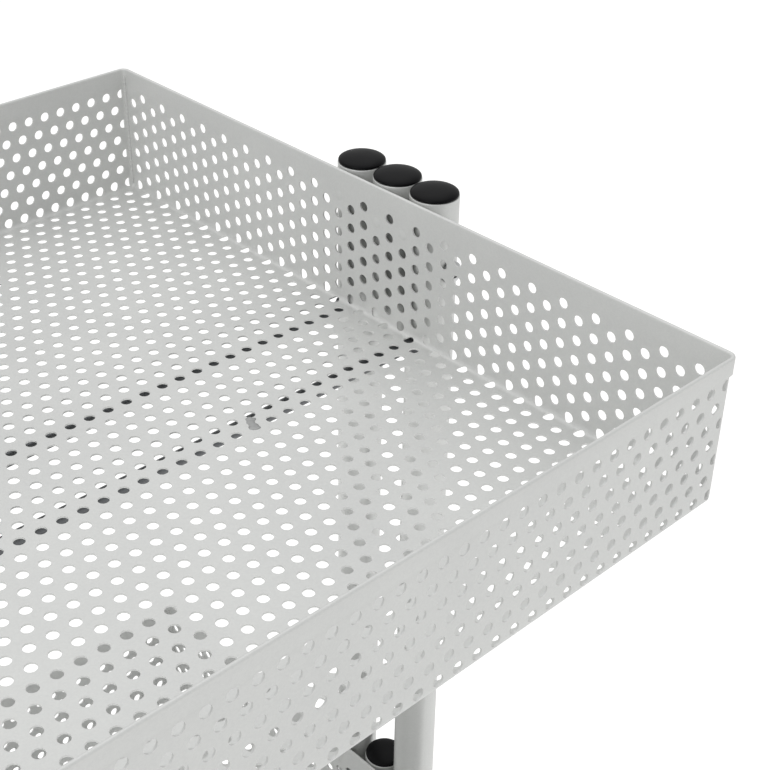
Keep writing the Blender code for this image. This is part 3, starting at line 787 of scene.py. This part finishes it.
def beam_cap_mesh(low, high, sign):
    """A push-in cap: a flange with rounded edges over the beam's end, and its plug.  The plug is as tall
    as the beam, so it shows level with the beam's top and bottom; a real one fits inside the wall."""
    flange = 3 * MM - CAP_AIR
    plug = (high.x - low.x) - flange
    bm = bmesh.new()
    bmesh.ops.create_cube(bm, size=1, matrix=Matrix.Diagonal((flange, high.y - low.y, high.z - low.z, 1)))
    long_edges = [edge for edge in bm.edges if abs((edge.verts[0].co - edge.verts[1].co).x) > flange / 2]
    bmesh.ops.bevel(bm, geom=long_edges, offset=BEAM_CORNER, segments=5, profile=0.5, affect="EDGES",
                    material=-1)
    rim_edges = [edge for edge in bm.edges if all(vert.co.x > 0 for vert in edge.verts)]
    bmesh.ops.bevel(bm, geom=rim_edges, offset=0.9 * MM, segments=4, profile=0.5, affect="EDGES", material=-1)
    inner = [face for face in bm.faces if face.normal.x < -0.9]
    bmesh.ops.inset_region(bm, faces=inner, thickness=BEAM_WALL + CAP_AIR)
    inner = [face for face in bm.faces if face.normal.x < -0.9 and abs(face.calc_center_median().y) < 1 * MM]
    pushed = bmesh.ops.extrude_face_region(bm, geom=inner)["geom"]
    bmesh.ops.translate(bm, verts=[item for item in pushed if isinstance(item, bmesh.types.BMVert)],
                        vec=(-plug, 0, 0))
    bmesh.ops.delete(bm, geom=inner, context="FACES_ONLY")
    middle = (low + high) / 2
    edge_x = high.x if sign > 0 else low.x
    where = Matrix.Translation((edge_x - sign * flange / 2, middle.y, middle.z))
    bmesh.ops.transform(bm, verts=bm.verts,
                        matrix=where @ Matrix.Rotation(0 if sign > 0 else math.pi, 4, "Z"))
    bmesh.ops.recalc_face_normals(bm, faces=bm.faces)
    return closed_mesh(bm, "beam_cap")


def weld_ring(radius, middle, axis):
    """A rippled fillet weld round a tube or rod that meets another piece at right angles."""
    bm = bmesh.new()
    section = closed_wire(bm, [(radius + out, 0, up) for out, up in
                               arc((0, 0), WELD_THROAT, -90, 90, WELD_SIDES)])
    bmesh.ops.spin(bm, geom=section, cent=(0, 0, 0), axis=(0, 0, 1), angle=math.tau, steps=WELD_STEPS,
                   use_merge=True)
    for vert in bm.verts:
        away = Vector((vert.co.x, vert.co.y, 0)).normalized()
        angle = math.atan2(vert.co.y, vert.co.x)
        ripple = 0.86 + 0.1 * math.sin(WELD_STEPS / 3 * angle) + 0.05 * math.sin(5 * angle)
        centre = away * radius
        vert.co = centre + (vert.co - centre) * ripple
    bmesh.ops.remove_doubles(bm, verts=bm.verts, dist=0.002 * MM)
    bmesh.ops.recalc_face_normals(bm, faces=bm.faces)
    mesh = closed_mesh(bm, "weld_ring", sharp=70)
    turn = Matrix() if axis == "Z" else Matrix.Rotation(math.pi / 2, 4, "X")
    mesh.transform(Matrix.Translation(middle) @ turn)
    return mesh


def middle_of(node):
    low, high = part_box(node)
    return (low + high) / 2


for end, direction in ENDS:
    node = "base_beam_" + end
    stems = [middle_of("caster_" + end + "_" + side + "_stem") for side, sign in SIDES]
    low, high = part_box(node)
    fit(box_tube_mesh(low, high, [(stem.x, stem.y, low.z) for stem in stems]), node + "_tube", tube_coat,
        "trolley_frame", "silver_powder_coat", node)
    for side, sign in SIDES:
        node = "beam_cap_" + end + "_" + side
        fit(beam_cap_mesh(*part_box(node), sign), node + "_insert", plastic, "trolley_frame",
            "black_polyethylene", node)
        foot_low, foot_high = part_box("upright_" + end + "_" + side)
        foot_radius = (foot_high.x - foot_low.x) / 2
        foot = ((foot_low.x + foot_high.x) / 2, (foot_low.y + foot_high.y) / 2, foot_low.z)
        fit(weld_ring(foot_radius, foot, "Z"), "foot_weld_" + end + "_" + side, tube_coat,
            "trolley_frame", "silver_powder_coat")
        for tier in TIERS:
            rod_low, rod_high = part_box("rail_" + tier + "_" + side)
            rod_end = Vector(middle_of("rail_" + tier + "_" + side))
            rod_end.y = direction * rod_high.y
            # The welds at the rods' ends take the same enamel, dark grey as painted shade.
            fit(weld_ring((rod_high.x - rod_low.x) / 2, rod_end, "Y"),
                "rod_weld_" + tier + "_" + end + "_" + side, enamel, "trolley_frame", "dark_grey_enamel")

# ---------------------------------------------------------------------------------------------
# Caster stems.  A zinc plated M10 stud screwed up through the beam, on a turned collar; under the
# collar the kingpin passes through the fork and is riveted over below it.

STUD_RADIUS = 5 * MM
THREAD_PITCH = 1.5 * MM
THREAD_DEPTH = 0.4 * MM
COLLAR_RADIUS = 11 * MM
KINGPIN_RADIUS = 4 * MM
KINGPIN_HEAD_RADIUS = 6.5 * MM
KINGPIN_HEAD = 2.5 * MM
STUD_LENGTH = 16 * MM
STUD_CHAMFER = 0.8 * MM
THREAD_END = 0.5 * MM
COLLAR_EDGE = 0.6 * MM
RACE_HEIGHT = 1 * MM
FORK_TOP = 64 * MM
FORK_PLATE = 4 * MM
CASTER_AIR = 0.3 * MM


def stem_mesh(high):
    """A stem up to the top of its box: riveted head, kingpin, collar, and the stud with its thread."""
    head_top = FORK_TOP - FORK_PLATE - CASTER_AIR
    collar_top = high.z - STUD_LENGTH
    collar_base = FORK_TOP + RACE_HEIGHT
    outline = [(0, head_top - KINGPIN_HEAD)]
    outline += [(KINGPIN_HEAD_RADIUS * math.sin(math.radians(turn)),
                 head_top - KINGPIN_HEAD * (0.35 + 0.65 * math.cos(math.radians(turn))))
                for turn in (15, 30, 45, 60, 75, 90)]
    outline += [(KINGPIN_HEAD_RADIUS, head_top), (KINGPIN_RADIUS, head_top),
                (KINGPIN_RADIUS, collar_base), (COLLAR_RADIUS - COLLAR_EDGE, collar_base),
                (COLLAR_RADIUS, collar_base + COLLAR_EDGE), (COLLAR_RADIUS, collar_top - COLLAR_EDGE),
                (COLLAR_RADIUS - COLLAR_EDGE, collar_top)]
    height = collar_top
    while height + THREAD_PITCH < high.z - THREAD_END:
        outline += [(STUD_RADIUS - THREAD_DEPTH, height + 0.1 * THREAD_PITCH),
                    (STUD_RADIUS, height + 0.5 * THREAD_PITCH),
                    (STUD_RADIUS - THREAD_DEPTH, height + 0.9 * THREAD_PITCH)]
        height += THREAD_PITCH
    outline += [(STUD_RADIUS - STUD_CHAMFER, high.z), (0, high.z)]
    return closed_mesh(turned(outline, 40), "stem")


def standing(end, side):
    """Where a caster stands: its swivel axis, turned half round at the rear."""
    stem = middle_of("caster_" + end + "_" + side + "_stem")
    turn = Matrix.Rotation(math.pi if end == "rear" else 0, 4, "Z")
    return Matrix.Translation((stem.x, stem.y, 0)) @ turn


casters = {"caster_" + end + "_" + side: standing(end, side)
           for end, direction in ENDS for side, sign in SIDES}
caster_stem = stem_mesh(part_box("caster_front_left_stem")[1])
for label, place in casters.items():
    fit(caster_stem, label + "_stud", zinc, "trolley_frame", "zinc_plated_steel", label + "_stem",
        place=place)

# ---------------------------------------------------------------------------------------------
# Caster forks and axles.  Each fork is pressed from 2.5 mm steel into a channel over the wheel and
# zinc plated; a plain pin with a domed head at each side carries the wheel.

FORK_INSIDE = 21 * MM
FORK_SIDE = 2.5 * MM
FORK_EDGE = 0.5 * MM
BOSS_RADIUS = 8 * MM
AXLE_TRAIL = 18 * MM
AXLE_HEIGHT = 25 * MM
AXLE_RADIUS = 3 * MM
AXLE_HEAD_RADIUS = 5 * MM
AXLE_HEAD = 2 * MM
PIVOT_BACK = 22 * MM
PIVOT_HEIGHT = 56 * MM
PIVOT_RADIUS = 2 * MM
ALONG_X = Matrix.Rotation(math.pi / 2, 4, "Y")


def side_plate(outline, width, edge, steps=2):
    """A piece cut to a side view of (distance to the front, height), its outer edges eased."""
    bm = bmesh.new()
    face = bm.faces.new([bm.verts.new((-width / 2, y, z)) for y, z in outline])
    grown = bmesh.ops.extrude_face_region(bm, geom=[face])["geom"]
    bmesh.ops.translate(bm, verts=[item for item in grown if isinstance(item, bmesh.types.BMVert)],
                        vec=(width, 0, 0))
    bmesh.ops.recalc_face_normals(bm, faces=bm.faces)
    if edge:
        outer = [rim for rim in bm.edges if abs(rim.verts[0].co.x - rim.verts[1].co.x) < width / 2]
        bmesh.ops.bevel(bm, geom=outer, offset=edge, segments=steps, profile=0.5, affect="EDGES",
                        material=-1)
    return bm


def fork_mesh():
    """The fork, its channel, and the holes for the kingpin, axle and brake pivot."""
    outline = [(15 * MM, FORK_TOP), (15 * MM, FORK_TOP - 12 * MM)]
    outline += arc((-AXLE_TRAIL, AXLE_HEIGHT), BOSS_RADIUS, -50, -200, 14)
    outline += [(-PIVOT_BACK - 5 * MM, PIVOT_HEIGHT - 6 * MM), (-PIVOT_BACK - 5 * MM, FORK_TOP)]
    body = closed_mesh(side_plate(outline, FORK_INSIDE + 2 * FORK_SIDE, FORK_EDGE), "fork")
    inside = FORK_TOP - FORK_PLATE
    channel = side_plate([(40 * MM, -10 * MM), (-60 * MM, -10 * MM), (-60 * MM, inside),
                          (40 * MM, inside)], FORK_INSIDE, 0)
    holes = [closed_mesh(channel, "channel"),
             round_bar(KINGPIN_RADIUS + CASTER_AIR, 3 * FORK_PLATE, "Z", (0, 0, FORK_TOP)),
             round_bar(AXLE_RADIUS + CASTER_AIR, 2 * FORK_INSIDE, "X", (0, -AXLE_TRAIL, AXLE_HEIGHT)),
             round_bar(PIVOT_RADIUS + CASTER_AIR, 2 * FORK_INSIDE, "X", (0, -PIVOT_BACK, PIVOT_HEIGHT))]
    return cut_away(body, holes)


def axle_mesh():
    """A pin across the fork with a domed head at each end."""
    reach = FORK_INSIDE / 2 + FORK_SIDE + CASTER_AIR
    half = [(AXLE_RADIUS, reach), (AXLE_HEAD_RADIUS, reach)]
    half += [(AXLE_HEAD_RADIUS * math.cos(math.radians(turn)), reach + 0.5 * MM +
              (AXLE_HEAD - 0.5 * MM) * math.sin(math.radians(turn))) for turn in (0, 20, 40, 60, 75)]
    half.append((0, reach + AXLE_HEAD))
    bm = turned([(radius, -along) for radius, along in reversed(half)] + half, 32)
    mesh = closed_mesh(bm, "axle")
    mesh.transform(Matrix.Translation((0, -AXLE_TRAIL, AXLE_HEIGHT)) @ ALONG_X)
    return mesh


fork = fork_mesh()
axle = axle_mesh()
for label, place in casters.items():
    fit(fork, label + "_yoke", zinc, label + "_swivel", "zinc_plated_steel", label + "_fork",
        place=place)
    fit(axle, label + "_pin", zinc, label + "_swivel", "zinc_plated_steel", label + "_axle", place=place)

# ---------------------------------------------------------------------------------------------
# Caster wheels.  A light grey nylon hub with six ribs a side, and a soft grey thermoplastic rubber
# tyre moulded round it, rounded at both shoulders with a shallow groove on each side.

WHEEL_RADIUS = 25 * MM
TREAD_WIDTH = 18 * MM
HUB_WIDTH = 20 * MM
TYRE_FROM = 17.6 * MM
WEB_WIDTH = 6 * MM
BOSS_OUTSIDE = 8 * MM
RIB_COUNT = 6
RIB_SINK = 0.3 * MM
TREAD_CORNER = 3 * MM
RIB_THICK = 1.8 * MM


def grey_rubber():
    """Soft grey thermoplastic rubber: matt, slightly sheened, darker with floor dirt in patches some
    7 mm across, with a fine moulded grain."""
    rubber = new_material("grey_rubber", {"Specular IOR Level": 0.35})
    place = add_node(rubber, "ShaderNodeTexCoord").outputs["Object"]
    dirt = add_node(rubber, "ShaderNodeTexNoise", {"Scale": per_size(7), "Detail": 6.0, "Roughness": 0.65},
                    {"Vector": place})
    grain = add_node(rubber, "ShaderNodeTexNoise", {"Scale": per_size(0.5), "Detail": 2.0}, {"Vector": place})
    tint = add_node(rubber, "ShaderNodeMix", {6: linear_colour("55585A"), 7: linear_colour("7C7F80")},
                    {0: dirt.outputs["Fac"]}, data_type="RGBA")
    rough = add_node(rubber, "ShaderNodeMapRange", {"To Min": 0.75, "To Max": 0.58},
                     {"Value": dirt.outputs["Fac"]})
    bump = add_node(rubber, "ShaderNodeBump", {"Strength": 0.3, "Distance": 0.04 * MM},
                    {"Height": grain.outputs["Fac"]})
    connect(rubber, {"Base Color": tint.outputs[2], "Roughness": rough.outputs[0],
                     "Normal": bump.outputs[0]})
    return rubber


def grey_nylon():
    """Light grey moulded nylon with a low sheen and faint flow marks about 9 mm long."""
    nylon = new_material("grey_nylon", {"IOR": 1.53, "Specular IOR Level": 0.4})
    place = add_node(nylon, "ShaderNodeTexCoord").outputs["Object"]
    flow = add_node(nylon, "ShaderNodeTexNoise", {"Scale": per_size(9), "Detail": 5.0, "Distortion": 1.2},
                    {"Vector": place})
    tint = add_node(nylon, "ShaderNodeMix", {6: linear_colour("A3A6A8"), 7: linear_colour("B9BBBC")},
                    {0: flow.outputs["Fac"]}, data_type="RGBA")
    sheen = add_node(nylon, "ShaderNodeMapRange", {"To Min": 0.38, "To Max": 0.55},
                     {"Value": flow.outputs["Fac"]})
    fine = add_node(nylon, "ShaderNodeTexNoise", {"Scale": per_size(0.7), "Detail": 2.0}, {"Vector": place})
    bump = add_node(nylon, "ShaderNodeBump", {"Strength": 0.2, "Distance": 0.03 * MM},
                    {"Height": fine.outputs["Fac"]})
    connect(nylon, {"Base Color": tint.outputs[2], "Roughness": sheen.outputs[0],
                    "Normal": bump.outputs[0]})
    return nylon


def both_sides(half):
    """One side's outline, given from the axle outwards, joined to its mirror image."""
    return ([(radius, -along) for radius, along in half]
            + [(radius, along) for radius, along in reversed(half)])


def tyre_mesh():
    """The tyre's section, with a shallow groove round each side wall, turned about the axle."""
    side = TREAD_WIDTH / 2
    half = [(TYRE_FROM, side - 0.6 * MM), (TYRE_FROM + 0.6 * MM, side), (WHEEL_RADIUS - 5.0 * MM, side),
            (WHEEL_RADIUS - 4.6 * MM, side - 0.5 * MM), (WHEEL_RADIUS - 4.0 * MM, side - 0.5 * MM),
            (WHEEL_RADIUS - 3.6 * MM, side)]
    half += arc((WHEEL_RADIUS - TREAD_CORNER, side - TREAD_CORNER), TREAD_CORNER, 90, 0, 6)
    mesh = closed_mesh(turned(both_sides(half), 96), "tyre")
    mesh.transform(Matrix.Translation((0, -AXLE_TRAIL, AXLE_HEIGHT)) @ ALONG_X)
    return mesh


def hub_mesh():
    """Boss, thin web, rim and the ribs between them, in one moulding."""
    side = TREAD_WIDTH / 2 - 0.9 * MM
    rim = TYRE_FROM - 2.2 * MM
    bore = AXLE_RADIUS + CASTER_AIR
    half = [(bore, HUB_WIDTH / 2), (BOSS_OUTSIDE - 0.5 * MM, HUB_WIDTH / 2),
            (BOSS_OUTSIDE, HUB_WIDTH / 2 - 0.5 * MM), (BOSS_OUTSIDE, WEB_WIDTH / 2), (rim, WEB_WIDTH / 2),
            (rim, side), (TYRE_FROM - 0.05 * MM, side)]
    bm = turned(both_sides(half), 72)
    for rib in range(RIB_COUNT):
        for sign in (-1, 1):
            depth = side - WEB_WIDTH / 2
            size = Matrix.Diagonal((rim - BOSS_OUTSIDE + 1 * MM, RIB_THICK, depth, 1))
            across = sign * (WEB_WIDTH / 2 + depth / 2 - RIB_SINK)
            middle = Matrix.Translation(((rim + BOSS_OUTSIDE) / 2, 0, across))
            turn = Matrix.Rotation(math.tau * rib / RIB_COUNT, 4, "Z")
            bmesh.ops.create_cube(bm, size=1, matrix=turn @ middle @ size)
    mesh = closed_mesh(bm, "hub")
    mesh.transform(Matrix.Translation((0, -AXLE_TRAIL, AXLE_HEIGHT)) @ ALONG_X)
    return mesh


rubber = grey_rubber()
nylon = grey_nylon()
tyre = tyre_mesh()
hub = hub_mesh()
for label, place in casters.items():
    fit(tyre, label + "_tyre", rubber, label + "_wheel", "grey_rubber", label + "_wheel", place=place)
    fit(hub, label + "_hub", nylon, label + "_wheel", "grey_rubber", place=place)

# ---------------------------------------------------------------------------------------------
# Brakes.  A moulded black pedal on two stubs in the fork at one front and one rear caster; pressed
# down, its shoe bears on the tyre.  Three ribs across the toe give the foot grip.

PEDAL_REACH = 27 * MM
PEDAL_WIDTH = 19.6 * MM
TOE_RIBS = 3
TOE_RIB_FROM = 2.4                  # mm from the toe
TOE_RIB_STEP = 2.2                  # mm
PEDAL_BEND = 12 * MM
TOE_TOP = 0.5 * MM
BEND_RISE = 2.3                     # mm above the toe


def brake_mesh():
    """The pedal's side outline, back and up from its pivot, made solid, with toe ribs and its stubs."""
    outline = [(3.2 * MM, 1.5 * MM), (3.2 * MM, -2 * MM), (-2 * MM, -3.2 * MM), (-6.5 * MM, -5.2 * MM),
               (-9 * MM, -4.6 * MM), (-PEDAL_BEND, -1.5 * MM), (-PEDAL_REACH, -3 * MM),
               (-PEDAL_REACH, TOE_TOP), (-PEDAL_BEND, 2.8 * MM), (-2 * MM, 3.2 * MM)]
    bm = side_plate(outline, PEDAL_WIDTH, 0.5 * MM)
    for rib in range(TOE_RIBS):
        back = -PEDAL_REACH + (TOE_RIB_FROM + TOE_RIB_STEP * rib) * MM
        slope = TOE_TOP + (back + PEDAL_REACH) / (PEDAL_REACH - PEDAL_BEND) * BEND_RISE * MM
        place = Matrix.Translation((0, back, slope - 0.1 * MM))
        bmesh.ops.create_cube(bm, size=1, matrix=place @ Matrix.Diagonal((PEDAL_WIDTH - 3 * MM, 0.9 * MM,
                                                                       0.8 * MM, 1)))
    stub = FORK_INSIDE + 2 * FORK_SIDE
    bmesh.ops.create_cone(bm, cap_ends=True, segments=32, radius1=PIVOT_RADIUS, radius2=PIVOT_RADIUS,
                          depth=stub, matrix=ALONG_X)
    bmesh.ops.translate(bm, verts=bm.verts, vec=(0, -PIVOT_BACK, PIVOT_HEIGHT))
    return closed_mesh(bm, "brake")


brake = brake_mesh()
for label in ("caster_front_left", "caster_rear_right"):
    fit(brake, label + "_pedal", plastic, label + "_brake", "black_polyethylene", label + "_brake",
        place=casters[label])

# ---------------------------------------------------------------------------------------------
# Studio.  A plain white floor under a pale sky, one wide soft light above, and the camera high up,
# looking down across one corner of the upper tray.

FLOOR_HALF = 12.0
CAMERA_PLACE = (0.4452, -0.1741, 1.2262)
CAMERA_HEADING = 45.59              # degrees from +Y towards -X
CAMERA_DOWN = 33.06
CAMERA_ROLL = 1.09
CAMERA_LENS = 69.54                 # mm, on a 36 mm wide sensor


def white_sweep():
    """Matt white painted floor glowing a little, so it stays pure white, with a roller texture 4 mm
    across."""
    paint = new_material("matt_white_floor_paint", {"Base Color": linear_colour("FAFAF9"), "Roughness": 0.75,
                                                    "Emission Color": (1, 1, 1, 1),
                                                    "Emission Strength": 0.35})
    place = add_node(paint, "ShaderNodeTexCoord").outputs["Object"]
    roller = add_node(paint, "ShaderNodeTexNoise", {"Scale": per_size(4), "Detail": 2.0}, {"Vector": place})
    bump = add_node(paint, "ShaderNodeBump", {"Strength": 0.05, "Distance": 0.1 * MM},
                    {"Height": roller.outputs["Fac"]})
    connect(paint, {"Normal": bump.outputs[0]})
    return paint


bm = bmesh.new()
bmesh.ops.create_grid(bm, x_segments=1, y_segments=1, size=FLOOR_HALF)
floor_mesh = closed_mesh(bm, "studio_floor")
floor_mesh.materials.append(white_sweep())
studio_floor = bpy.data.objects.new("studio_floor", floor_mesh)
bpy.context.scene.collection.objects.link(studio_floor)


def area_light(name, place, aim, size, watts, colour="FFFFFF"):
    lamp = bpy.data.lights.new(name, "AREA")
    lamp.shape = "SQUARE"
    lamp.size = size
    lamp.energy = watts
    lamp.color = linear_colour(colour)[:3]
    light = bpy.data.objects.new(name, lamp)
    light.location = place
    light.rotation_euler = (Vector(aim) - Vector(place)).to_track_quat("-Z", "Y").to_euler()
    bpy.context.scene.collection.objects.link(light)


area_light("ceiling_softbox", (-0.6, 0.3, 2.8), (0, 0, 0.5), 2.4, 16)
area_light("window_panel", (0.6, -2.4, 2.6), (0, 0, 0.9), 1.4, 20)

sky = bpy.data.worlds.new("pale_studio")
sky.use_nodes = True
sky.node_tree.nodes["Background"].inputs["Color"].default_value = (1, 1, 1, 1)
sky.node_tree.nodes["Background"].inputs["Strength"].default_value = 0.68
bpy.context.scene.world = sky
bpy.context.scene.view_settings.view_transform = "Standard"

camera_data = bpy.data.cameras.new("camera")
camera_data.lens = CAMERA_LENS
camera_data.clip_start = 0.01
camera = bpy.data.objects.new("camera", camera_data)
bpy.context.scene.collection.objects.link(camera)
turn = Matrix.Rotation(math.radians(CAMERA_HEADING), 4, "Z")
tip = Matrix.Rotation(math.radians(90 - CAMERA_DOWN), 4, "X")
roll = Matrix.Rotation(math.radians(CAMERA_ROLL), 4, "Z")
camera.matrix_world = Matrix.Translation(CAMERA_PLACE) @ turn @ tip @ roll
bpy.context.scene.camera = camera
